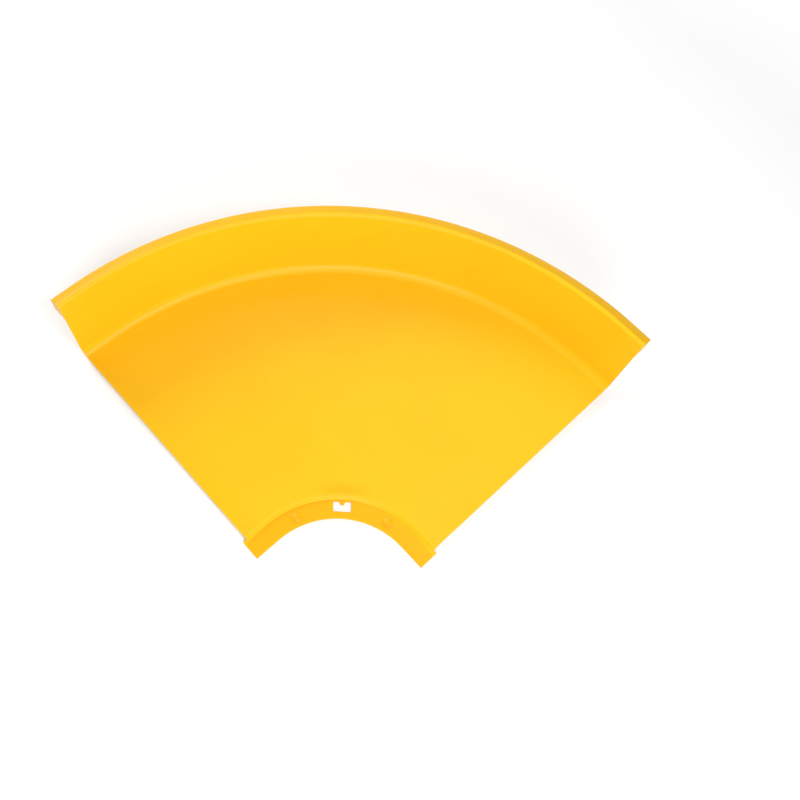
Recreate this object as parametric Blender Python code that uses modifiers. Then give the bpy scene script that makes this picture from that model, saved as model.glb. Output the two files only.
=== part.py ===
"""Fibre raceway fitting: a quarter-turn tray piece, moulded in one.

A flat fan-shaped floor turns cables through a right angle. A tall, slightly
flared wall stands round its outside and ends in a sloping lip with a hem.
Along its inside the floor steps down to a level flange with one latch window.
Everything is in metres, +Z is up and +Y points from the centre of the bend to
the middle of the outer wall.
"""

import math

import bmesh
import bpy
from mathutils import Matrix, Vector

# Driving dimensions, each written once.
TRAY_WIDTH = 0.2517  # from the foot of the step to the foot of the outer wall
BEND_RADIUS = 0.0997  # from the centre of the bend to the foot of the step
BEND_ANGLE = math.radians(90.0)
STRAIGHT_END = 0.0222  # straight stretch at each end of the bend
SKIN = 0.0025  # thickness of floor, wall, lip and hem
WALL_RISE = 0.0884  # floor's top face to the wall's crown
WALL_FLARE = 0.0075  # how far the crown leans outwards
FOOT_RADIUS = 0.0090  # hollow rounding between floor and wall
CROWN_RADIUS = 0.0032  # rounding on top of the wall
LIP_RUN = 0.0154  # crown to the lip's outer face
LIP_FALL = 0.0078  # how far the lip slopes down over that run
LIP_RADIUS = 0.0030
HEM_DEPTH = 0.0200  # how far the hem hangs down from the lip
STEP_FALL = 0.0040  # how far the flange lies below the floor
STEP_RUN = 0.0029  # how far the step's slope reaches outwards
STEP_ROUNDING = 0.0020  # where the floor rolls over into the slope
STEP_HOLLOW = 0.0005  # where the slope meets the flange
FLANGE_WIDTH = 0.01815  # foot of the step to the flange's inner edge
EDGE_ROUNDING = 0.0006
TAB_LENGTH = 0.0040  # the flange reaches past the floor's end by this
TAB_CLEARANCE = 0.0015  # from the foot of the step to the floor's end cut
WINDOW_WIDTH = 0.0172
WINDOW_DEPTH = 0.00985
WINDOW_CORNER = 0.0008
WINDOW_SETBACK = 0.0018  # from the foot of the step to the window
TOOTH_WIDTH = 0.0044
TOOTH_DEPTH = 0.0030
RELIEF_DEPTH = 0.0003  # shallow triangle at the floor's two inner corners
RELIEF_LENGTH = 0.0110  # along the end of the step
RELIEF_SETBACK = 0.0035  # keeps the relief clear of the step's rounding
RIB_THICKNESS = 0.0018
RIB_ANGLES = (24.2, 39.5)  # degrees each side of the middle
RIB_BITE = 0.0009  # how deep a rib or web runs into the skin it joins
ARC_STEPS = 40

OUTER_RADIUS = BEND_RADIUS + TRAY_WIDTH
FLANGE_TOP = SKIN
FLOOR_TOP = FLANGE_TOP + STEP_FALL
HALF_ANGLE = BEND_ANGLE / 2


def clear_scene():
    """Take everything out of the startup scene."""
    for item in list(bpy.data.objects):
        bpy.data.objects.remove(item)


def new_collection(name, helper):
    """Make a collection for the part, or a hidden one for helpers."""
    made = bpy.data.collections.new(name)
    bpy.context.scene.collection.children.link(made)
    made.hide_render = helper
    return made


def unit(vector):
    """The direction of a vector."""
    return vector / vector.length


def offset_corners(corners, distance):
    """Move a run of straight edges sideways, to the right of its direction."""
    lines = []
    for (start, _), (end, _) in zip(corners, corners[1:]):
        along = unit(end - start)
        side = Vector((along.y, -along.x)) * distance
        lines.append((start + side, end + side))
    moved = [lines[0][0]]
    for (a, b), (c, d) in zip(lines, lines[1:]):
        first = b - a
        second = d - c
        cross = first.x * second.y - first.y * second.x
        gap = c - a
        share = (gap.x * second.y - gap.y * second.x) / cross
        moved.append(a + first * share)
    moved.append(lines[-1][1])
    return moved


def rounded_run(corners):
    """Points along a run of straight edges, with an arc at each corner.

    Each corner is (position, radius). A radius of nothing leaves it sharp.
    """
    points = []
    for index, (corner, radius) in enumerate(corners):
        if radius <= 0 or index in (0, len(corners) - 1):
            points.append(corner.copy())
            continue
        back = unit(corners[index - 1][0] - corner)
        ahead = unit(corners[index + 1][0] - corner)
        opening = back.angle(ahead)
        reach = radius / math.tan(opening / 2)
        centre = corner + unit(back + ahead) * (radius / math.sin(opening / 2))
        first = corner + back * reach - centre
        last = corner + ahead * reach - centre
        start = math.atan2(first.y, first.x)
        turn = math.atan2(last.y, last.x) - start
        turn = (turn + math.pi) % (2 * math.pi) - math.pi
        steps = max(2, math.ceil(abs(turn) / math.radians(18)))
        for step in range(steps + 1):
            angle = start + turn * step / steps
            points.append(centre + Vector((math.cos(angle), math.sin(angle))) * radius)
    return points


def skin_corners():
    """Corners of the upper face of the skin, from the flange to the hem."""
    crown = Vector((OUTER_RADIUS + WALL_FLARE, FLOOR_TOP + WALL_RISE))
    lip = crown + Vector((LIP_RUN, -LIP_FALL))
    return [
        (Vector((BEND_RADIUS - FLANGE_WIDTH, FLANGE_TOP)), 0),
        (Vector((BEND_RADIUS, FLANGE_TOP)), STEP_HOLLOW),
        (Vector((BEND_RADIUS + STEP_RUN, FLOOR_TOP)), STEP_ROUNDING),
        (Vector((OUTER_RADIUS, FLOOR_TOP)), FOOT_RADIUS),
        (crown, CROWN_RADIUS),
        (lip, LIP_RADIUS),
        (lip - Vector((0, HEM_DEPTH)), 0),
    ]


def under_corners():
    """The same run one skin thickness below, with matching arcs."""
    upper = skin_corners()
    places = offset_corners(upper, SKIN)
    step = (STEP_HOLLOW + SKIN, STEP_ROUNDING - SKIN)
    radii = (0, *step, FOOT_RADIUS + SKIN, CROWN_RADIUS - SKIN, LIP_RADIUS - SKIN, 0)
    return [(place, max(radius, 0.0004)) for place, radius in zip(places, radii)]


def section_points():
    """The whole closed section as (radius, height) points, anticlockwise."""
    upper = skin_corners()
    under = under_corners()
    flange_top = (upper[0][0], EDGE_ROUNDING)
    flange_under = (under[0][0], EDGE_ROUNDING)
    hem_out = (upper[-1][0], EDGE_ROUNDING)
    hem_in = (under[-1][0], EDGE_ROUNDING)
    middle = Vector((BEND_RADIUS + TRAY_WIDTH / 2, FLOOR_TOP))
    upper_run = [(middle, 0)] + upper[3:-1] + [hem_out, hem_in]
    under_run = under[-2:0:-1] + [flange_under, flange_top]
    closed = upper_run + under_run + upper[1:3] + [(middle, 0)]
    return rounded_run(closed)[:-1]


def solid_from_mesh(name, mesh_data, collection):
    """Add a mesh as an object."""
    mesh = bpy.data.meshes.new(name)
    mesh_data.normal_update()
    bmesh.ops.recalc_face_normals(mesh_data, faces=mesh_data.faces)
    mesh_data.to_mesh(mesh)
    mesh_data.free()
    made = bpy.data.objects.new(name, mesh)
    collection.objects.link(made)
    return made


def end_frame(angle):
    """Turn (across, along, up) at an angle of the bend into the scene.

    Across is the distance from the bend's axis and along runs clockwise.
    """
    outward = Vector((math.sin(angle), math.cos(angle), 0))
    onward = Vector((math.cos(angle), -math.sin(angle), 0))
    turned = Matrix((outward, onward, Vector((0, 0, 1)))).transposed()
    return turned.to_4x4()


def move_faces(mesh_data, faces, step):
    """Extrude faces in a straight line and return the moved ones."""
    made = bmesh.ops.extrude_face_region(mesh_data, geom=faces)
    moved = [item for item in made["geom"] if isinstance(item, bmesh.types.BMVert)]
    bmesh.ops.translate(mesh_data, verts=moved, vec=step)
    bmesh.ops.delete(mesh_data, geom=faces, context="FACES_ONLY")
    return [item for item in made["geom"] if isinstance(item, bmesh.types.BMFace)]


def sweep_section(collection):
    """Carry the section along one straight end, the bend and the other end."""
    data = bmesh.new()
    reach = STRAIGHT_END + TAB_LENGTH
    start = end_frame(-HALF_ANGLE)
    corners = [data.verts.new(start @ Vector((p.x, -reach, p.y))) for p in section_points()]
    cap = data.faces.new(corners)
    first = data.faces.new([data.verts.new(v.co) for v in corners])
    heading = start.to_3x3() @ Vector((0, reach, 0))
    front = move_faces(data, [first], heading)
    spun = bmesh.ops.spin(
        data,
        geom=front,
        cent=(0, 0, 0),
        axis=(0, 0, -1),
        angle=BEND_ANGLE,
        steps=ARC_STEPS,
        use_duplicate=False,
    )
    bmesh.ops.delete(data, geom=front, context="FACES_ONLY")
    last = [item for item in spun["geom_last"] if isinstance(item, bmesh.types.BMFace)]
    leaving = end_frame(HALF_ANGLE).to_3x3() @ Vector((0, reach, 0))
    move_faces(data, last, leaving)
    bmesh.ops.remove_doubles(data, verts=data.verts, dist=0.000001)
    cap.normal_update()
    return solid_from_mesh("elbow_tray", data, collection)


def prism(name, outline, low, high, place, collection):
    """A helper solid: an outline in (across, up), carried from low to high."""
    data = bmesh.new()
    corners = [data.verts.new(Vector((p.x, low, p.y))) for p in outline]
    face = data.faces.new(corners)
    made = bmesh.ops.extrude_face_region(data, geom=[face])
    moved = [item for item in made["geom"] if isinstance(item, bmesh.types.BMVert)]
    bmesh.ops.translate(data, verts=moved, vec=(0, high - low, 0))
    data.transform(place)
    helper = solid_from_mesh(name, data, collection)
    helper.display_type = "WIRE"
    return helper


def seen_from_above():
    """Lay an outline flat, so that it is carried upwards."""
    return Matrix(((1, 0, 0, 0), (0, 0, 1, 0), (0, 1, 0, 0), (0, 0, 0, 1)))


def mirrored(helper):
    """Repeat a helper on the other side of the middle."""
    modifier = helper.modifiers.new("other_side", "MIRROR")
    modifier.use_axis = (True, False, False)
    modifier.use_mirror_merge = False
    return helper


def combine(body, helper, operation):
    """Join a helper to the body, or cut it away."""
    modifier = body.modifiers.new(helper.name, "BOOLEAN")
    modifier.operation = operation
    modifier.solver = "EXACT"
    modifier.object = helper


def under_lip_outline():
    """What a web fills below the lip, with a bite into the skin all round."""
    under = under_corners()
    foot = under[-4][0]
    crown = under[-3][0]
    lip = under[-2][0]
    hem = under[-1][0]
    down = unit(foot - crown)
    wall_low = crown + down * ((crown.y - hem.y) / abs(down.y))
    bite = Vector((RIB_BITE, 0))
    rise = Vector((0, RIB_BITE))
    lift = Vector((0, EDGE_ROUNDING * 2))
    return [
        wall_low - bite + lift,
        hem + bite + lift,
        lip + bite + rise * 0.4,
        crown - bite * 0.6 + rise * 1.2,
    ]


def add_webs(body, helpers):
    """Close the lip at both ends and stiffen it with ribs between them."""
    outline = under_lip_outline()
    end = end_frame(HALF_ANGLE)
    low = STRAIGHT_END - SKIN
    high = STRAIGHT_END + TAB_LENGTH * 2
    combine(body, mirrored(prism("end_web", outline, low, high, end, helpers)), "UNION")
    for number, angle in enumerate(RIB_ANGLES):
        place = end_frame(math.radians(angle))
        half = RIB_THICKNESS / 2
        rib = prism(f"lip_rib_{number}", outline, -half, half, place, helpers)
        combine(body, mirrored(rib), "UNION")


def cut_ends(body, helpers):
    """Trim floor and wall back, so that the flange reaches past them."""
    near = BEND_RADIUS + TAB_CLEARANCE
    far = OUTER_RADIUS + WALL_FLARE + LIP_RUN * 3
    top = WALL_RISE * 1.5
    outline = [
        Vector((near, -SKIN * 4)),
        Vector((far, -SKIN * 4)),
        Vector((far, top)),
        Vector((near, top)),
    ]
    end = end_frame(HALF_ANGLE)
    high = STRAIGHT_END + TAB_LENGTH * 4
    cutter = prism("end_trim", outline, STRAIGHT_END, high, end, helpers)
    combine(body, mirrored(cutter), "DIFFERENCE")


def cut_window(body, helpers):
    """Cut the latch window through the flange, leaving its tooth."""
    back = BEND_RADIUS - WINDOW_SETBACK
    front = back - WINDOW_DEPTH
    half = WINDOW_WIDTH / 2
    tooth = TOOTH_WIDTH / 2
    slant = TOOTH_WIDTH * 0.18
    corner = WINDOW_CORNER
    outline = [
        (Vector((0, front)), 0),
        (Vector((half, front)), corner),
        (Vector((half, back)), corner),
        (Vector((tooth + slant, back)), corner * 0.6),
        (Vector((tooth - slant, back - TOOTH_DEPTH)), corner * 0.6),
        (Vector((slant - tooth, back - TOOTH_DEPTH)), corner * 0.6),
        (Vector((-tooth - slant, back)), corner * 0.6),
        (Vector((-half, back)), corner),
        (Vector((-half, front)), corner),
        (Vector((0, front)), 0),
    ]
    flat = rounded_run(outline)[:-1]
    low = -SKIN * 2
    high = SKIN * 3
    cutter = prism("latch_window", flat, low, high, seen_from_above(), helpers)
    combine(body, cutter, "DIFFERENCE")


def cut_corner_reliefs(body, helpers):
    """Lower the floor's two inner corners over a shallow triangle."""
    near = BEND_RADIUS + STEP_RUN + RELIEF_SETBACK
    beyond = STRAIGHT_END + TAB_LENGTH * 3
    first = STRAIGHT_END - RELIEF_LENGTH
    outline = [
        Vector((near, first)),
        Vector((near + beyond - first, beyond)),
        Vector((near, beyond)),
    ]
    low = FLOOR_TOP - RELIEF_DEPTH
    high = FLOOR_TOP + SKIN
    place = end_frame(HALF_ANGLE) @ seen_from_above()
    cutter = prism("corner_relief", outline, low, high, place, helpers)
    combine(body, mirrored(cutter), "DIFFERENCE")


def yellow_plastic():
    """Bright yellow moulded plastic."""
    made = bpy.data.materials.new("yellow_moulded_plastic")
    made.use_nodes = True
    shader = made.node_tree.nodes["Principled BSDF"]
    shader.inputs["Base Color"].default_value = (1.0, 0.55, 0.03, 1.0)
    shader.inputs["Roughness"].default_value = 0.38
    made.diffuse_color = (1.0, 0.55, 0.03, 1.0)
    return made


def seat_on_ground(body):
    """Put the middle of the outline above the origin."""
    edge = BEND_RADIUS - FLANGE_WIDTH
    reach = STRAIGHT_END + TAB_LENGTH
    nearest = edge * math.cos(HALF_ANGLE) - reach * math.sin(HALF_ANGLE)
    farthest = OUTER_RADIUS + WALL_FLARE + LIP_RUN
    body.location.y = -(nearest + farthest) / 2


def shade(body):
    """Smooth shading, broken at the real edges."""
    body.data.shade_smooth()
    body.data.set_sharp_from_angle(angle=math.radians(35))


def build():
    """Build the whole fitting."""
    clear_scene()
    parts = new_collection("fibre_raceway_fitting", False)
    helpers = new_collection("helpers", True)
    body = sweep_section(parts)
    add_webs(body, helpers)
    cut_ends(body, helpers)
    cut_window(body, helpers)
    cut_corner_reliefs(body, helpers)
    body.data.materials.append(yellow_plastic())
    shade(body)
    for item in list(helpers.objects) + [body]:
        seat_on_ground(item)


build()
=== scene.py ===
"""Looks of a moulded fibre raceway fitting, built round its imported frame.

The fitting is one moulding: a flat fan-shaped floor, a tall flared outer wall
with a sloping lip and a hanging hem, and a step down along the inside of the
bend to a flange with a latch window. The visual moulding repeats the frame's
sizes with finer rounding, and it stands for the frame's own solid.
"""

import logging
import math
from dataclasses import dataclass, field
from enum import Enum
from typing import Sequence

import bmesh
import bpy
from mathutils import Matrix, Vector


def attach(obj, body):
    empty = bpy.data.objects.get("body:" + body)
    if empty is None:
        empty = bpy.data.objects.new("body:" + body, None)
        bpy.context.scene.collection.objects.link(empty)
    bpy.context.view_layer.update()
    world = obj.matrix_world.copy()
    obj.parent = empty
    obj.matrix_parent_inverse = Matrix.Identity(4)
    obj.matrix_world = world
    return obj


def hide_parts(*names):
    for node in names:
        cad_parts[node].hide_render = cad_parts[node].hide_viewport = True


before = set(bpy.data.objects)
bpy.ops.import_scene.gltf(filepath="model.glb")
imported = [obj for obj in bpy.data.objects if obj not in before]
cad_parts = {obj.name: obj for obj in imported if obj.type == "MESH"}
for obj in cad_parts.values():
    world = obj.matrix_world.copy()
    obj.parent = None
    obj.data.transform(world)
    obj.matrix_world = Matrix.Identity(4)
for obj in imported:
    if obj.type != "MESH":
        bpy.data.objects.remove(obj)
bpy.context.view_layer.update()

LOG = logging.getLogger("raceway_fitting")
MM = 0.001
# An inner corner whose arc the skin's thickness would use up keeps this radius.
LEAST_RADIUS = 0.4 * MM
# Points nearer to each other than this become one.
WELD = 0.001 * MM


class Join(Enum):
    """How a tool solid meets the moulding."""

    ADD = "UNION"
    CUT = "DIFFERENCE"


@dataclass(frozen=True)
class Corner:
    """A corner of a section or an outline, with the arc that rounds it.

    Attributes:
        place: Where the two straight edges would meet, in metres.
        radius: Radius of the arc, or nothing for a sharp corner.
    """

    place: Vector
    radius: float = 0.0


def rounded(corners: Sequence[Corner], arc_step: float = 10.0) -> list[Vector]:
    """Follow straight edges and put an arc at each corner.

    Args:
        corners: The corners in order. The first and the last stay sharp.
        arc_step: Largest turn between two points of an arc, in degrees.

    Returns:
        The points of the run.
    """
    points: list[Vector] = []
    last = len(corners) - 1
    for index, corner in enumerate(corners):
        if corner.radius <= 0 or index in (0, last):
            points.append(corner.place.copy())
            continue
        back = (corners[index - 1].place - corner.place).normalized()
        ahead = (corners[index + 1].place - corner.place).normalized()
        half = back.angle(ahead) / 2
        centre = corner.place + (back + ahead).normalized() * (corner.radius / math.sin(half))
        reach = corner.radius / math.tan(half)
        first = corner.place + back * reach - centre
        final = corner.place + ahead * reach - centre
        start = math.atan2(first.y, first.x)
        turn = math.atan2(final.y, final.x) - start
        turn = (turn + math.pi) % (2 * math.pi) - math.pi
        steps = max(2, math.ceil(abs(math.degrees(turn)) / arc_step))
        for step in range(steps + 1):
            angle = start + turn * step / steps
            spoke = Vector((math.cos(angle), math.sin(angle)))
            points.append(centre + spoke * corner.radius)
    return points


def below(corners: Sequence[Corner], thickness: float) -> list[Corner]:
    """Carry a run of edges one thickness to the right of its direction.

    Args:
        corners: The upper run.
        thickness: Thickness of the skin.

    Returns:
        The lower run, with arcs about the same centres.
    """
    lines = []
    for start, end in zip(corners, corners[1:]):
        along = (end.place - start.place).normalized()
        side = Vector((along.y, -along.x)) * thickness
        lines.append((start.place + side, end.place + side))
    moved = [Corner(lines[0][0])]
    for index, ((a, b), (c, d)) in enumerate(zip(lines, lines[1:]), start=1):
        first = b - a
        second = d - c
        gap = c - a
        share = gap.cross(second) / first.cross(second)
        hollow = first.cross(second) > 0
        radius = corners[index].radius + (thickness if hollow else -thickness)
        moved.append(Corner(a + first * share, max(radius, LEAST_RADIUS)))
    moved.append(Corner(lines[-1][1]))
    return moved


@dataclass(frozen=True)
class TraySizes:
    """Sizes of the moulding in metres, the same ones that the frame has.

    Attributes:
        tray_width: From the foot of the step to the foot of the outer wall.
        bend_radius: From the bend's axis to the foot of the step.
        bend_degrees: How far the tray turns.
        straight_end: Straight stretch of the floor at each end.
        skin: Thickness of the plastic everywhere.
        wall_rise: From the floor's upper face to the crown.
        wall_flare: How far the outer wall leans outwards.
        foot_radius: Hollow rounding where floor and wall meet.
        crown_radius: Rounding along the wall's top.
        lip_run: Width of the sloping lip.
        lip_fall: How far the lip drops over that width.
        lip_radius: Rounding between lip and hem.
        hem_depth: How far the hem hangs from the lip.
        step_fall: From the floor down to the flange.
        step_run: Width of the step.
        step_rounding: Rounding of its upper edge.
        step_hollow: Hollow rounding at its foot.
        flange_width: From the foot of the step to the flange's edge.
        edge_rounding: Rounding of the skin's free edges.
        tab_length: How far the flange reaches past the floor at each end.
        tab_clearance: From the foot of the step to where that part is cut free.
    """

    tray_width: float = 0.2517
    bend_radius: float = 0.0997
    bend_degrees: float = 90.0
    straight_end: float = 0.0222
    skin: float = 0.0025
    wall_rise: float = 0.0884
    wall_flare: float = 0.0075
    foot_radius: float = 0.0090
    crown_radius: float = 0.0032
    lip_run: float = 0.0154
    lip_fall: float = 0.0078
    lip_radius: float = 0.0030
    hem_depth: float = 0.0200
    step_fall: float = 0.0040
    step_run: float = 0.0029
    step_rounding: float = 0.0020
    step_hollow: float = 0.0005
    flange_width: float = 0.01815
    edge_rounding: float = 0.0006
    tab_length: float = 0.0040
    tab_clearance: float = 0.0015

    @property
    def floor_top(self) -> float:
        """Height of the floor's upper face. The flange's is one skin."""
        return self.skin + self.step_fall

    @property
    def outer_radius(self) -> float:
        """Radius of the outer wall's foot."""
        return self.bend_radius + self.tray_width

    @property
    def half_angle(self) -> float:
        """Half of the bend, in radians."""
        return math.radians(self.bend_degrees) / 2

    @property
    def bend_centre(self) -> Vector:
        """The bend's axis in the frame.

        Returns:
            The axis on the ground. The frame's origin is under the outline's middle.
        """
        edge = self.bend_radius - self.flange_width
        reach = self.straight_end + self.tab_length
        nearest = edge * math.cos(self.half_angle) - reach * math.sin(self.half_angle)
        farthest = self.outer_radius + self.wall_flare + self.lip_run
        return Vector((0, -(nearest + farthest) / 2, 0))

    def upper_skin(self) -> list[Corner]:
        """Corners of the skin's upper face.

        Returns:
            The corners as (radius, height), from the flange's edge to the hem's.
        """
        crown = Vector((self.outer_radius + self.wall_flare, self.floor_top + self.wall_rise))
        lip = crown + Vector((self.lip_run, -self.lip_fall))
        step_head = Vector((self.bend_radius + self.step_run, self.floor_top))
        return [
            Corner(Vector((self.bend_radius - self.flange_width, self.skin))),
            Corner(Vector((self.bend_radius, self.skin)), self.step_hollow),
            Corner(step_head, self.step_rounding),
            Corner(Vector((self.outer_radius, self.floor_top)), self.foot_radius),
            Corner(crown, self.crown_radius),
            Corner(lip, self.lip_radius),
            Corner(lip - Vector((0, self.hem_depth))),
        ]

    def lower_skin(self) -> list[Corner]:
        """Corners of the skin's lower face."""
        return below(self.upper_skin(), self.skin)


def srgb(code: str) -> tuple[float, float, float, float]:
    """Turn an sRGB hex colour into linear light.

    Args:
        code: Six hex digits after a hash.

    Returns:
        Linear red, green and blue, and an alpha of 1.
    """
    channels = []
    for index in (1, 3, 5):
        value = int(code[index : index + 2], 16) / 255
        low = value / 12.92
        high = ((value + 0.055) / 1.055) ** 2.4
        channels.append(low if value <= 0.04045 else high)
    return (channels[0], channels[1], channels[2], 1.0)


@dataclass
class NodeSheet:
    """A material's node tree, with one way to add a node.

    Attributes:
        material: The material that the nodes belong to.
    """

    material: bpy.types.Material

    @classmethod
    def blank(cls, name: str) -> "NodeSheet":
        """Start an empty node tree in a new material.

        Args:
            name: Name of the material.

        Returns:
            The sheet.
        """
        made = bpy.data.materials.new(name)
        made.use_nodes = True
        made.node_tree.nodes.clear()
        return cls(made)

    def add(self, kind: str, settings: dict | None = None, **inputs: object) -> bpy.types.Node:
        """Add a node.

        Args:
            kind: Blender's name for the node's type.
            settings: The node's own properties.
            **inputs: Values or output sockets by input name, spaces as underscores.
                A name such as in_0 means the input with that number.

        Returns:
            The node.
        """
        node = self.material.node_tree.nodes.new(kind)
        for name, value in (settings or {}).items():
            setattr(node, name, value)
        for name, value in inputs.items():
            numbered = name.startswith("in_")
            key = int(name[3:]) if numbered else name.replace("_", " ")
            socket = node.inputs[key]
            if isinstance(value, bpy.types.NodeSocket):
                self.material.node_tree.links.new(value, socket)
            else:
                socket.default_value = value
        return node


@dataclass(frozen=True)
class Noise:
    """An even, shapeless pattern.

    Attributes:
        spacing_mm: Distance between two highs.
        detail: How many finer layers lie on it.
        coarseness: Strength of each finer layer against the one before.
        distortion: How far the pattern is pulled out of shape.
    """

    spacing_mm: float
    detail: float = 2.0
    coarseness: float = 0.5
    distortion: float = 0.0

    def add(self, sheet: NodeSheet, where: bpy.types.NodeSocket) -> bpy.types.NodeSocket:
        """Put the pattern in a material.

        Args:
            sheet: The material.
            where: The place of each point, in metres.

        Returns:
            The pattern's height, between 0 and 1.
        """
        made = sheet.add(
            "ShaderNodeTexNoise",
            Vector=where,
            Scale=1 / (self.spacing_mm * MM),
            Detail=self.detail,
            Roughness=self.coarseness,
            Distortion=self.distortion,
        )
        return made.outputs["Fac"]


@dataclass(frozen=True)
class MouldedAbs:
    """Yellow injection-moulded ABS with a fine spark-eroded texture.

    To the eye it is a warm, saturated yellow with a broad soft sheen: the grain
    spreads each reflection, and slow waves in the skin vary it a little.

    Attributes:
        name: Name of the material.
        body_colour: Colour of the plastic.
        deep_colour: Colour where the skin is thicker or the melt flowed late.
        flange_shade_colour: Painted shade: the flange is drawn in a deeper colour than the
            floor, for the shade that it gets below the step.
        cloud_colour: A faint darker cloud on the floor just behind the middle of the step.
        roughness: Roughness between the grain's highs and lows.
        roughness_swing: How far the slow waves move the roughness either way.
        ior: Lower than the plastic's own 1.53, because the grain breaks up the
            reflections at a grazing angle. It keeps the lip from turning pale.
        specular_level: Strength of the reflections.
        grain: The texture. The real one's spacing is near 0.1 mm, and it is
            drawn coarser so that it shows at a millimetre a pixel.
        grain_depth_mm: Depth of the grain.
        grain_strength: How much of that depth the light sees.
        wave: The slow waves that shrinkage leaves.
        wave_depth_mm: Depth of those waves.
        wave_span: The part of the waves' noise that moves the roughness.
        mottle: The clouds of deeper colour.
        mottle_span: The part of the clouds' noise that changes the colour.
        flange_shade_blend_mm: From the foot of the step, where the flange's painted shade ends.
        cloud_place_mm: Middle of the cloud, from the bend's axis.
        cloud_reach_mm: Half its width along X and along Y.
        cloud_span: From full to no cloud colour, in shares of that half width.
        edge_mm: Softness of edges that are too fine for the mesh.
        edge_samples: Samples for that softness.
    """

    name: str = "moulded_abs_yellow"
    body_colour: str = "#ffc31a"
    deep_colour: str = "#ffc017"
    flange_shade_colour: str = "#fdb408"
    cloud_colour: str = "#feb813"
    roughness: float = 0.36
    roughness_swing: float = 0.03
    ior: float = 1.3
    specular_level: float = 0.5
    grain: Noise = Noise(0.9, coarseness=0.55)
    grain_depth_mm: float = 0.012
    grain_strength: float = 0.6
    wave: Noise = Noise(70.0, detail=1.5, coarseness=0.4)
    wave_depth_mm: float = 0.10
    wave_span: tuple[float, float] = (0.3, 0.7)
    mottle: Noise = Noise(55.0, distortion=0.4)
    mottle_span: tuple[float, float] = (0.35, 0.75)
    flange_shade_blend_mm: tuple[float, float] = (-0.2, 0.4)
    cloud_place_mm: tuple[float, float] = (1.5, 108.5)
    cloud_reach_mm: tuple[float, float] = (30.0, 9.0)
    cloud_span: tuple[float, float] = (0.1, 1.1)
    edge_mm: float = 0.45
    edge_samples: int = 6

    def build(self, sizes: TraySizes) -> bpy.types.Material:
        """Make the material.

        Args:
            sizes: The moulding's sizes, which place the flange and the cloud.

        Returns:
            The material.
        """
        sheet = NodeSheet.blank(self.name)
        where = sheet.add("ShaderNodeTexCoord").outputs["Object"]
        centred = sheet.add(
            "ShaderNodeMapping",
            Vector=where,
            Location=tuple(-sizes.bend_centre),
        ).outputs["Vector"]
        grain = self.grain.add(sheet, where)
        wave = self.wave.add(sheet, where)
        mottle = self.mottle.add(sheet, centred)
        tone = sheet.add(
            "ShaderNodeMapRange",
            Value=mottle,
            From_Min=self.mottle_span[0],
            From_Max=self.mottle_span[1],
        )
        colour = sheet.add(
            "ShaderNodeMix",
            {"data_type": "RGBA"},
            Factor=tone.outputs["Result"],
            in_6=srgb(self.body_colour),
            in_7=srgb(self.deep_colour),
        )
        level = sheet.add(
            "ShaderNodeVectorMath",
            {"operation": "MULTIPLY"},
            in_0=centred,
            in_1=(1, 1, 0),
        )
        radius = sheet.add(
            "ShaderNodeVectorMath", {"operation": "LENGTH"}, in_0=level.outputs["Vector"]
        )
        # Painted shade: from the foot of the step inwards the flange gets a darker colour, for
        # the shade that it gets below the step.
        beyond = sheet.add(
            "ShaderNodeMapRange",
            Value=radius.outputs["Value"],
            From_Min=sizes.bend_radius + self.flange_shade_blend_mm[0] * MM,
            From_Max=sizes.bend_radius + self.flange_shade_blend_mm[1] * MM,
        )
        # A faint darker cloud on the floor just behind the middle of the step.
        cloud_middle = Vector((*self.cloud_place_mm, 0)) * MM
        reach = Vector((*self.cloud_reach_mm, 1)) * MM
        beside = sheet.add(
            "ShaderNodeVectorMath",
            {"operation": "SUBTRACT"},
            in_0=level.outputs["Vector"],
            in_1=cloud_middle,
        )
        shrunk = sheet.add(
            "ShaderNodeVectorMath",
            {"operation": "DIVIDE"},
            in_0=beside.outputs["Vector"],
            in_1=reach,
        )
        away = sheet.add(
            "ShaderNodeVectorMath", {"operation": "LENGTH"}, in_0=shrunk.outputs["Vector"]
        )
        cloud = sheet.add(
            "ShaderNodeMapRange",
            {"interpolation_type": "SMOOTHSTEP"},
            Value=away.outputs["Value"],
            From_Min=self.cloud_span[0],
            From_Max=self.cloud_span[1],
            To_Min=1.0,
            To_Max=0.0,
        )
        clouded = sheet.add(
            "ShaderNodeMix",
            {"data_type": "RGBA"},
            Factor=cloud.outputs["Result"],
            in_6=colour.outputs[2],
            in_7=srgb(self.cloud_colour),
        )
        # The flange's painted shade goes under the colour here.
        with_flange_shade = sheet.add(
            "ShaderNodeMix",
            {"data_type": "RGBA"},
            Factor=beyond.outputs["Result"],
            in_6=srgb(self.flange_shade_colour),
            in_7=clouded.outputs[2],
        )
        rough = sheet.add(
            "ShaderNodeMapRange",
            Value=wave,
            From_Min=self.wave_span[0],
            From_Max=self.wave_span[1],
            To_Min=self.roughness - self.roughness_swing,
            To_Max=self.roughness + self.roughness_swing,
        )
        edge = sheet.add(
            "ShaderNodeBevel", {"samples": self.edge_samples}, Radius=self.edge_mm * MM
        )
        slow = sheet.add(
            "ShaderNodeBump",
            Height=wave,
            Distance=self.wave_depth_mm * MM,
            Normal=edge.outputs["Normal"],
        )
        fine = sheet.add(
            "ShaderNodeBump",
            Height=grain,
            Distance=self.grain_depth_mm * MM,
            Strength=self.grain_strength,
            Normal=slow.outputs["Normal"],
        )
        shader = sheet.add(
            "ShaderNodeBsdfPrincipled",
            Base_Color=with_flange_shade.outputs[2],
            Roughness=rough.outputs["Result"],
            Normal=fine.outputs["Normal"],
            IOR=self.ior,
            Specular_IOR_Level=self.specular_level,
        )
        sheet.add("ShaderNodeOutputMaterial", Surface=shader.outputs["BSDF"])
        return sheet.material


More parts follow.
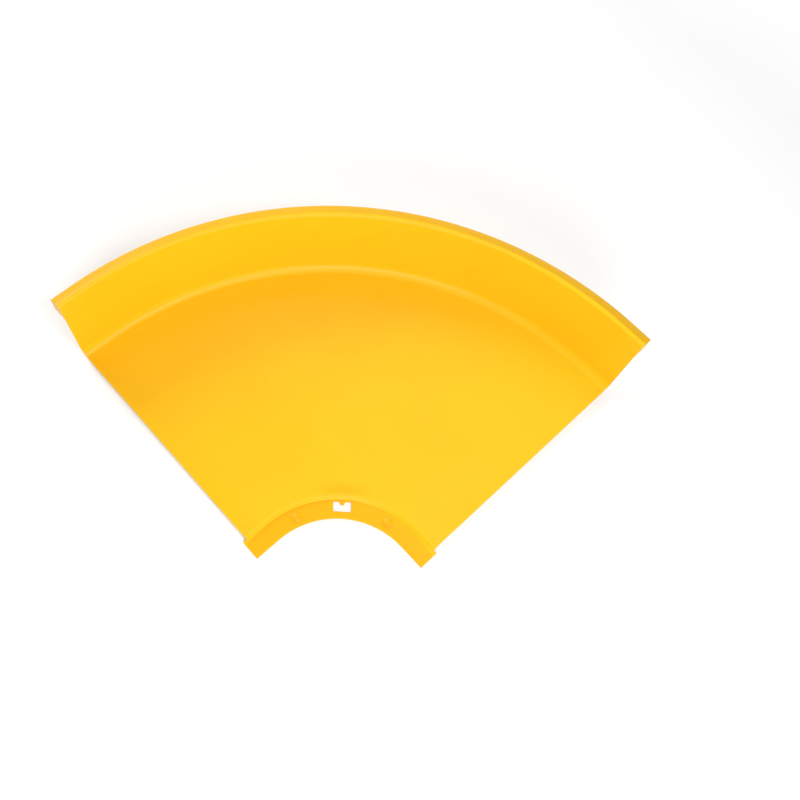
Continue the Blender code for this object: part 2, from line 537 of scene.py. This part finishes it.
@dataclass
class Moulding:
    """The whole one-piece fitting.

    Attributes:
        sizes: Sizes shared with the frame.
        arc_steps: Straight steps round the bend.
        window_width: Latch window, round the bend.
        window_depth: Latch window, across the flange.
        window_corner: Rounding of the window's corners.
        window_setback: From the foot of the step to the window.
        tooth_width: The tooth that a cover's latch catches.
        tooth_depth: How far the tooth stands into the window.
        tooth_slant: Slant of its flanks either side, as a share of its width.
        tooth_softness: Its rounding, as a share of the window's.
        relief_depth: Shallow triangle at the floor's two inner corners.
        relief_length: Length of that triangle along the step.
        relief_setback: Gap between the step's head and the triangle.
        rib_thickness: Ribs under the lip.
        rib_degrees: Their places each side of the middle.
        rib_bite: How deep ribs and webs run into the skin.
        rib_lift: Gap between the hem's lower edge and the ribs'.
        lip_bite: Share of the bite that goes up at the lip's edge.
        crown_bite: Shares of the bite that go inwards and up at the crown.
        sink_width: Shallow sinks on the lip above the ribs, along the lip.
        sink_depth: Depth of those sinks.
        sink_span: Where a sink starts and ends between crown and lip's edge.
        overshoot: How many times its own size a tool runs on into free air.
        sharp_degrees: Edges that turn more than this stay sharp.
    """

    sizes: TraySizes = field(default_factory=TraySizes)
    arc_steps: int = 90
    window_width: float = 0.0172
    window_depth: float = 0.00985
    window_corner: float = 0.0008
    window_setback: float = 0.0018
    tooth_width: float = 0.0044
    tooth_depth: float = 0.0030
    tooth_slant: float = 0.18
    tooth_softness: float = 0.6
    relief_depth: float = 0.0003
    relief_length: float = 0.0110
    relief_setback: float = 0.0035
    rib_thickness: float = 0.0018
    rib_degrees: tuple[float, float] = (24.2, 39.5)
    rib_bite: float = 0.0009
    rib_lift: float = 0.0012
    lip_bite: float = 0.4
    crown_bite: tuple[float, float] = (0.6, 1.2)
    sink_width: float = 0.0016
    sink_depth: float = 0.00055
    sink_span: tuple[float, float] = (0.34, 0.74)
    overshoot: float = 4.0
    sharp_degrees: float = 30.0
    tools: list[bpy.types.Object] = field(default_factory=list)

    def section(self) -> list[Vector]:
        """Close the skin's section, with rounded edges.

        Returns:
            The points as (radius, height).
        """
        s = self.sizes
        upper = s.upper_skin()
        lower = s.lower_skin()
        soft = s.edge_rounding
        middle = Corner(Vector((s.bend_radius + s.tray_width / 2, s.floor_top)))
        run = [middle, *upper[3:-1]]
        run += [Corner(upper[-1].place, soft), Corner(lower[-1].place, soft)]
        run += lower[-2:0:-1]
        run += [Corner(lower[0].place, soft), Corner(upper[0].place, soft)]
        run += [*upper[1:3], middle]
        return rounded(run)[:-1]

    def at_angle(self, angle: float) -> Matrix:
        """Turn (across, along, up) at an angle of the bend into the frame.

        Args:
            angle: Angle from the middle, clockwise from above, in radians.

        Returns:
            The matrix.
        """
        outward = Vector((math.sin(angle), math.cos(angle), 0))
        onward = Vector((math.cos(angle), -math.sin(angle), 0))
        turned = Matrix((outward, onward, Vector((0, 0, 1)))).transposed()
        return Matrix.Translation(self.sizes.bend_centre) @ turned.to_4x4()

    def swept(self) -> bpy.types.Object:
        """Carry the section along a straight end, the bend and the other end.

        Returns:
            The moulding, before any tool meets it.
        """
        s = self.sizes
        data = bmesh.new()
        reach = s.straight_end + s.tab_length
        start = self.at_angle(-s.half_angle)
        ring = [data.verts.new(start @ Vector((p.x, -reach, p.y))) for p in self.section()]
        data.faces.new(ring)
        moved = bmesh.ops.extrude_face_region(data, geom=list(data.faces), use_keep_orig=True)
        self.shift(data, moved, start.to_3x3() @ Vector((0, reach, 0)))
        front = [item for item in moved["geom"] if isinstance(item, bmesh.types.BMFace)]
        spun = bmesh.ops.spin(
            data,
            geom=front,
            cent=s.bend_centre,
            axis=(0, 0, -1),
            angle=s.half_angle * 2,
            steps=self.arc_steps,
            use_duplicate=False,
        )
        bmesh.ops.delete(data, geom=front, context="FACES_ONLY")
        last = [item for item in spun["geom_last"] if isinstance(item, bmesh.types.BMFace)]
        ended = bmesh.ops.extrude_face_region(data, geom=last)
        self.shift(data, ended, self.at_angle(s.half_angle).to_3x3() @ Vector((0, reach, 0)))
        bmesh.ops.delete(data, geom=[f for f in last if f.is_valid], context="FACES_ONLY")
        bmesh.ops.remove_doubles(data, verts=data.verts, dist=WELD)
        return self.as_object("raceway_moulding", data)

    @staticmethod
    def shift(data: bmesh.types.BMesh, made: dict, step: Vector) -> None:
        """Move the new points of an extrusion."""
        moved = [item for item in made["geom"] if isinstance(item, bmesh.types.BMVert)]
        bmesh.ops.translate(data, verts=moved, vec=step)

    @staticmethod
    def as_object(name: str, data: bmesh.types.BMesh) -> bpy.types.Object:
        """Give a mesh outward faces and put it in the scene.

        Args:
            name: Name of the object.
            data: The mesh's points and faces, which are freed.

        Returns:
            The object.
        """
        data.normal_update()
        bmesh.ops.recalc_face_normals(data, faces=data.faces)
        mesh = bpy.data.meshes.new(name)
        data.to_mesh(mesh)
        data.free()
        made = bpy.data.objects.new(name, mesh)
        bpy.context.scene.collection.objects.link(made)
        return made

    def prism(
        self, name: str, outline: Sequence[Vector], low: float, high: float, place: Matrix
    ) -> bpy.types.Object:
        """Make a tool solid.

        Args:
            name: Name of the tool.
            outline: Points in (across, up).
            low: Where the outline starts along its path.
            high: Where it ends.
            place: Where that path lies in the frame.

        Returns:
            The tool, to be removed once it is used.
        """
        data = bmesh.new()
        ring = [data.verts.new(Vector((p.x, low, p.y))) for p in outline]
        face = data.faces.new(ring)
        made = bmesh.ops.extrude_face_region(data, geom=[face])
        self.shift(data, made, Vector((0, high - low, 0)))
        data.transform(place)
        tool = self.as_object(name, data)
        self.tools.append(tool)
        return tool

    @staticmethod
    def both_sides(tool: bpy.types.Object) -> bpy.types.Object:
        """Repeat a tool on the other side of the middle.

        Args:
            tool: The tool on the right.

        Returns:
            The same tool, now on both sides.
        """
        modifier = tool.modifiers.new("other_side", "MIRROR")
        modifier.use_axis = (True, False, False)
        modifier.use_mirror_merge = False
        return tool

    @staticmethod
    def meet(body: bpy.types.Object, tool: bpy.types.Object, how: Join) -> None:
        """Join a tool to the moulding, or cut it away.

        Args:
            body: The moulding.
            tool: The tool solid.
            how: Which of the two.
        """
        modifier = body.modifiers.new(tool.name, "BOOLEAN")
        modifier.operation = how.value
        modifier.solver = "EXACT"
        modifier.object = tool

    @staticmethod
    def laid_flat() -> Matrix:
        """Lay an outline flat, so that it is carried upwards."""
        return Matrix(((1, 0, 0, 0), (0, 0, 1, 0), (0, 1, 0, 0), (0, 0, 0, 1)))

    def under_lip(self) -> list[Vector]:
        """Outline what a rib fills between wall, lip and hem.

        Returns:
            The outline as (radius, height), a bite deep in the skin.
        """
        foot, crown, lip, hem = (corner.place for corner in self.sizes.lower_skin()[-4:])
        down = (foot - crown).normalized()
        wall_low = crown + down * ((crown.y - hem.y) / abs(down.y))
        bite = Vector((self.rib_bite, 0))
        rise = Vector((0, self.rib_bite))
        lift = Vector((0, self.rib_lift))
        return [
            wall_low - bite + lift,
            hem + bite + lift,
            lip + bite + rise * self.lip_bite,
            crown - bite * self.crown_bite[0] + rise * self.crown_bite[1],
        ]

    def add_webs(self, body: bpy.types.Object) -> None:
        """Close the lip at both ends and put ribs between them.

        Args:
            body: The moulding.
        """
        s = self.sizes
        outline = self.under_lip()
        end = self.at_angle(s.half_angle)
        low = s.straight_end - s.skin
        high = s.straight_end + s.tab_length * self.overshoot
        web = self.prism("end_web", outline, low, high, end)
        self.meet(body, self.both_sides(web), Join.ADD)
        half = self.rib_thickness / 2
        for number, angle in enumerate(self.rib_degrees):
            place = self.at_angle(math.radians(angle))
            rib = self.prism(f"lip_rib_{number}", outline, -half, half, place)
            self.meet(body, self.both_sides(rib), Join.ADD)

    def sink_lip(self, body: bpy.types.Object) -> None:
        """Draw the lip in a little above each rib, where the thick spot shrank.

        Args:
            body: The moulding.
        """
        crown, lip = (corner.place for corner in self.sizes.upper_skin()[-3:-1])
        along = lip - crown
        inward = Vector((along.y, -along.x)).normalized() * self.sink_depth
        first, last = (crown + along * share for share in self.sink_span)
        above = -inward * self.overshoot
        outline = [first, (first + last) / 2 + inward, last, last + above, first + above]
        half = self.sink_width / 2
        for number, angle in enumerate(self.rib_degrees):
            place = self.at_angle(math.radians(angle))
            sink = self.prism(f"lip_sink_{number}", outline, -half, half, place)
            self.meet(body, self.both_sides(sink), Join.CUT)

    def trim_ends(self, body: bpy.types.Object) -> None:
        """Cut floor and wall back, so that the flange reaches past them.

        Args:
            body: The moulding.
        """
        s = self.sizes
        near = s.bend_radius + s.tab_clearance
        far = s.outer_radius + s.wall_flare + s.lip_run * self.overshoot
        bottom = -s.skin * self.overshoot
        top = s.floor_top + s.wall_rise - bottom
        corners = ((near, bottom), (far, bottom), (far, top), (near, top))
        outline = [Vector(corner) for corner in corners]
        high = s.straight_end + s.tab_length * (self.overshoot + 1)
        tool = self.prism("end_trim", outline, s.straight_end, high, self.at_angle(s.half_angle))
        self.meet(body, self.both_sides(tool), Join.CUT)

    def cut_window(self, body: bpy.types.Object) -> None:
        """Cut the latch window and leave its tooth.

        Args:
            body: The moulding.
        """
        s = self.sizes
        back = s.bend_radius - self.window_setback
        front = back - self.window_depth
        half = self.window_width / 2
        tooth = self.tooth_width / 2
        slant = self.tooth_width * self.tooth_slant
        soft = self.window_corner
        fine = soft * self.tooth_softness
        right = [
            Corner(Vector((half, front)), soft),
            Corner(Vector((half, back)), soft),
            Corner(Vector((tooth + slant, back)), fine),
            Corner(Vector((tooth - slant, back - self.tooth_depth)), fine),
        ]
        left = [Corner(Vector((-c.place.x, c.place.y)), c.radius) for c in reversed(right)]
        start = Corner(Vector((0, front)))
        flat = rounded([start, *right, *left, start])[:-1]
        place = Matrix.Translation(s.bend_centre) @ self.laid_flat()
        reach = s.skin * self.overshoot
        tool = self.prism("latch_window", flat, -reach, reach, place)
        self.meet(body, tool, Join.CUT)

    def cut_corner_reliefs(self, body: bpy.types.Object) -> None:
        """Lower the floor's two inner corners over a shallow triangle.

        Args:
            body: The moulding.
        """
        s = self.sizes
        near = s.bend_radius + s.step_run + self.relief_setback
        beyond = s.straight_end + s.tab_length * self.overshoot
        first = s.straight_end - self.relief_length
        outline = [
            Vector((near, first)),
            Vector((near + beyond - first, beyond)),
            Vector((near, beyond)),
        ]
        place = self.at_angle(s.half_angle) @ self.laid_flat()
        low = s.floor_top - self.relief_depth
        tool = self.prism("corner_relief", outline, low, s.floor_top + s.skin, place)
        self.meet(body, self.both_sides(tool), Join.CUT)

    def build(self, finish: MouldedAbs) -> bpy.types.Object:
        """Make the moulding and dress it.

        Args:
            finish: What it is made of.

        Returns:
            The finished piece.
        """
        body = self.swept()
        self.add_webs(body)
        self.sink_lip(body)
        self.trim_ends(body)
        self.cut_window(body)
        self.cut_corner_reliefs(body)
        graph = bpy.context.evaluated_depsgraph_get()
        mesh = bpy.data.meshes.new_from_object(body.evaluated_get(graph))
        body.modifiers.clear()
        body.data = mesh
        for tool in self.tools:
            bpy.data.objects.remove(tool)
        self.tools.clear()
        mesh.materials.clear()
        mesh.materials.append(finish.build(self.sizes))
        mesh.shade_smooth()
        mesh.set_sharp_from_angle(angle=math.radians(self.sharp_degrees))
        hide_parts("elbow_tray")
        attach(body, "root")
        LOG.info("moulding: %d faces", len(mesh.polygons))
        return body


@dataclass
class PinMarks:
    """The round marks that ejector pins leave on the flange.

    Attributes:
        sizes: Sizes shared with the frame.
        diameter: Diameter of a pin.
        proud: How far the mark stands up.
        degrees: Places round the bend, from the middle.
        setback: Distance of the mark's centre from the foot of the step.
        rooted: How deep the mark's foot runs into the flange.
        rim: Width of the raised rim.
        rim_slope: Width of the slope inside the rim.
        dish: How far the middle sinks back, as a share of the rim's height.
        sides: Straight sides of the round outline.
        sharp_degrees: Edges that turn more than this stay sharp.
    """

    sizes: TraySizes = field(default_factory=TraySizes)
    diameter: float = 0.0108
    proud: float = 0.00030
    degrees: tuple[float, float] = (-28.5, 28.5)
    setback: float = 0.0092
    rooted: float = 0.0002
    rim: float = 0.00055
    rim_slope: float = 0.00025
    dish: float = 0.8
    sides: int = 64
    sharp_degrees: float = 50.0

    def build(self, material: bpy.types.Material) -> bpy.types.Object:
        """Make both marks as one piece of thin raised rims.

        Args:
            material: The moulding's own plastic.

        Returns:
            The marks.
        """
        data = bmesh.new()
        s = self.sizes
        across = s.bend_radius - self.setback
        for angle in map(math.radians, self.degrees):
            outward = Vector((math.sin(angle), math.cos(angle), 0))
            foot = s.bend_centre + outward * across + Vector((0, 0, s.skin - self.rooted))
            disc = bmesh.ops.create_circle(
                data, cap_ends=True, segments=self.sides, radius=self.diameter / 2
            )
            bmesh.ops.translate(data, verts=disc["verts"], vec=foot)
            face = disc["verts"][0].link_faces[0]
            up = bmesh.ops.extrude_face_region(data, geom=[face])
            Moulding.shift(data, up, Vector((0, 0, self.rooted + self.proud)))
            top = [item for item in up["geom"] if isinstance(item, bmesh.types.BMFace)]
            bmesh.ops.inset_region(data, faces=top, thickness=self.rim)
            sunk = -self.proud * self.dish
            bmesh.ops.inset_region(data, faces=top, thickness=self.rim_slope, depth=sunk)
        piece = Moulding.as_object("ejector_marks", data)
        piece.data.materials.append(material)
        piece.data.shade_smooth()
        piece.data.set_sharp_from_angle(angle=math.radians(self.sharp_degrees))
        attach(piece, "root")
        LOG.info("ejector marks: %d", len(self.degrees))
        return piece


@dataclass(frozen=True)
class PaperSweep:
    """Matt white paper under the object.

    To the eye it is plain white, and only the object's soft shadow shows on it.

    Attributes:
        name: Name of the material.
        colour: Colour of the paper.
        lift: Light added for camera and mirror rays, so that it stays white.
        far_lift: The same far off, where the soft boxes no longer reach.
        fade: Distances between which the one turns into the other, in metres.
        fibre: The paper's fibres, drawn coarser than real ones.
        fibre_depth_mm: Depth of the fibres.
    """

    name: str = "matt_white_paper"
    colour: str = "#e6e6e6"
    lift: float = 0.24
    far_lift: float = 0.95
    fade: tuple[float, float] = (0.65, 1.6)
    fibre: Noise = Noise(2.5)
    fibre_depth_mm: float = 0.01

    def build(self) -> bpy.types.Material:
        """Make the material.

        Returns:
            The material.
        """
        sheet = NodeSheet.blank(self.name)
        where = sheet.add("ShaderNodeTexCoord").outputs["Object"]
        fibre = self.fibre.add(sheet, where)
        bump = sheet.add("ShaderNodeBump", Height=fibre, Distance=self.fibre_depth_mm * MM)
        paper = sheet.add(
            "ShaderNodeBsdfDiffuse", Color=srgb(self.colour), Normal=bump.outputs["Normal"]
        )
        path = sheet.add("ShaderNodeLightPath")
        seen = sheet.add(
            "ShaderNodeMath",
            {"operation": "MAXIMUM"},
            in_0=path.outputs["Is Camera Ray"],
            in_1=path.outputs["Is Glossy Ray"],
        )
        away = sheet.add("ShaderNodeVectorMath", {"operation": "LENGTH"}, in_0=where)
        lift = sheet.add(
            "ShaderNodeMapRange",
            Value=away.outputs["Value"],
            From_Min=self.fade[0],
            From_Max=self.fade[1],
            To_Min=self.lift,
            To_Max=self.far_lift,
        )
        level = sheet.add(
            "ShaderNodeMath",
            {"operation": "MULTIPLY"},
            in_0=seen.outputs[0],
            in_1=lift.outputs["Result"],
        )
        glow = sheet.add("ShaderNodeEmission", Strength=level.outputs[0])
        both = sheet.add("ShaderNodeAddShader", in_0=paper.outputs[0], in_1=glow.outputs[0])
        sheet.add("ShaderNodeOutputMaterial", Surface=both.outputs[0])
        return sheet.material


@dataclass(frozen=True)
class SoftBox:
    """A square soft box that faces the object.

    Attributes:
        name: Name of the lamp.
        turn: Compass turn from +Y to +X, in degrees.
        rise: Height above the horizon, in degrees.
        watts: Its power.
        side: Side of its square face, in metres.
        distance: How far it hangs from the object, in metres.
    """

    name: str
    turn: float
    rise: float
    watts: float
    side: float = 1.0
    distance: float = 1.6

    def hang(self) -> bpy.types.Object:
        """Put the lamp in the scene.

        Returns:
            The lamp.
        """
        turn = math.radians(self.turn)
        rise = math.radians(self.rise)
        level = math.cos(rise)
        towards = Vector((math.sin(turn) * level, math.cos(turn) * level, math.sin(rise)))
        data = bpy.data.lights.new(self.name, "AREA")
        data.shape = "SQUARE"
        data.size = self.side
        data.energy = self.watts
        made = bpy.data.objects.new(self.name, data)
        made.location = towards * self.distance
        made.rotation_euler = towards.to_track_quat("Z", "Y").to_euler()
        bpy.context.scene.collection.objects.link(made)
        return made


@dataclass
class Studio:
    """The floor, the lamps and the camera.

    Attributes:
        sizes: Sizes shared with the frame.
        sky: Strength of the even light from all round.
        boxes: The soft boxes. The small one gives the thin highlights.
        half_floor: Half the side of the paper.
        camera_place: Camera from the bend's axis at the floor's top, in metres.
        aim: Where its axis meets the floor, from the bend's axis.
        roll_degrees: Turn of the camera about its own axis.
        focal_pixels: Focal length, in pixels of the picture.
        middle_pixels: Where the axis meets the picture.
        picture: Width and height of the picture in pixels.
        sensor: Width of the sensor in millimetres.
        clip: Nearest and farthest distance that the camera sees.
    """

    sizes: TraySizes = field(default_factory=TraySizes)
    sky: float = 0.03
    boxes: tuple[SoftBox, ...] = (
        SoftBox("key_front", turn=180.0, rise=25.0, watts=18.2),
        SoftBox("rim_left", turn=-45.0, rise=32.0, watts=11.2, side=0.6),
        SoftBox("back", turn=0.0, rise=48.0, watts=6.1),
        SoftBox("high_right", turn=90.0, rise=70.0, watts=4.6),
        SoftBox("small_front_right", turn=140.0, rise=60.0, watts=8.9, side=0.4),
    )
    half_floor: float = 6.0
    camera_place: tuple[float, float, float] = (-0.03386, -0.13581, 0.82395)
    aim: tuple[float, float] = (0.00200, 0.21175)
    roll_degrees: float = 9.076
    focal_pixels: float = 897.9
    middle_pixels: tuple[float, float] = (350.0, 390.0)
    picture: int = 800
    sensor: float = 36.0
    clip: tuple[float, float] = (0.01, 50.0)

    def floor(self) -> bpy.types.Object:
        """Lay the paper under the object.

        Returns:
            The paper.
        """
        data = bmesh.new()
        bmesh.ops.create_grid(data, x_segments=1, y_segments=1, size=self.half_floor)
        piece = Moulding.as_object("paper_floor", data)
        piece.data.materials.append(PaperSweep().build())
        return piece

    def world(self) -> None:
        """Even white light from all round, and a white backdrop."""
        made = bpy.data.worlds.new("even_white")
        made.use_nodes = True
        tree = made.node_tree
        ground = tree.nodes["Background"]
        ground.inputs["Color"].default_value = (1, 1, 1, 1)
        path = tree.nodes.new("ShaderNodeLightPath")
        seen = tree.nodes.new("ShaderNodeMath")
        seen.operation = "MAXIMUM"
        tree.links.new(path.outputs["Is Camera Ray"], seen.inputs[0])
        tree.links.new(path.outputs["Is Transmission Ray"], seen.inputs[1])
        level = tree.nodes.new("ShaderNodeMapRange")
        level.inputs["To Min"].default_value = self.sky
        level.inputs["To Max"].default_value = 1.0
        tree.links.new(seen.outputs[0], level.inputs["Value"])
        tree.links.new(level.outputs["Result"], ground.inputs["Strength"])
        bpy.context.scene.world = made

    def camera(self) -> bpy.types.Object:
        """Stand the camera where the photograph was taken from.

        Returns:
            The camera.
        """
        base = self.sizes.bend_centre + Vector((0, 0, self.sizes.floor_top))
        place = base + Vector(self.camera_place)
        target = base + Vector((*self.aim, 0))
        data = bpy.data.cameras.new("photo_camera")
        data.sensor_width = self.sensor
        data.lens = self.focal_pixels / self.picture * data.sensor_width
        data.shift_x = (self.picture / 2 - self.middle_pixels[0]) / self.picture
        data.shift_y = (self.middle_pixels[1] - self.picture / 2) / self.picture
        data.clip_start, data.clip_end = self.clip
        made = bpy.data.objects.new("photo_camera", data)
        level = (target - place).to_track_quat("-Z", "Y").to_matrix().to_4x4()
        roll = Matrix.Rotation(math.radians(self.roll_degrees), 4, "Z")
        made.matrix_world = Matrix.Translation(place) @ level @ roll
        bpy.context.scene.collection.objects.link(made)
        bpy.context.scene.camera = made
        return made

    def build(self) -> None:
        """Set the whole studio."""
        self.floor()
        self.world()
        for box in self.boxes:
            box.hang()
        self.camera()
        bpy.context.scene.view_settings.view_transform = "Standard"
        LOG.info("studio is set")


def main() -> None:
    """Build the fitting and its studio in order."""
    logging.basicConfig(level=logging.INFO, format="%(name)s: %(message)s")
    moulding = Moulding().build(MouldedAbs())
    PinMarks().build(moulding.data.materials[0])
    Studio().build()


if __name__ == "__main__":
    main()
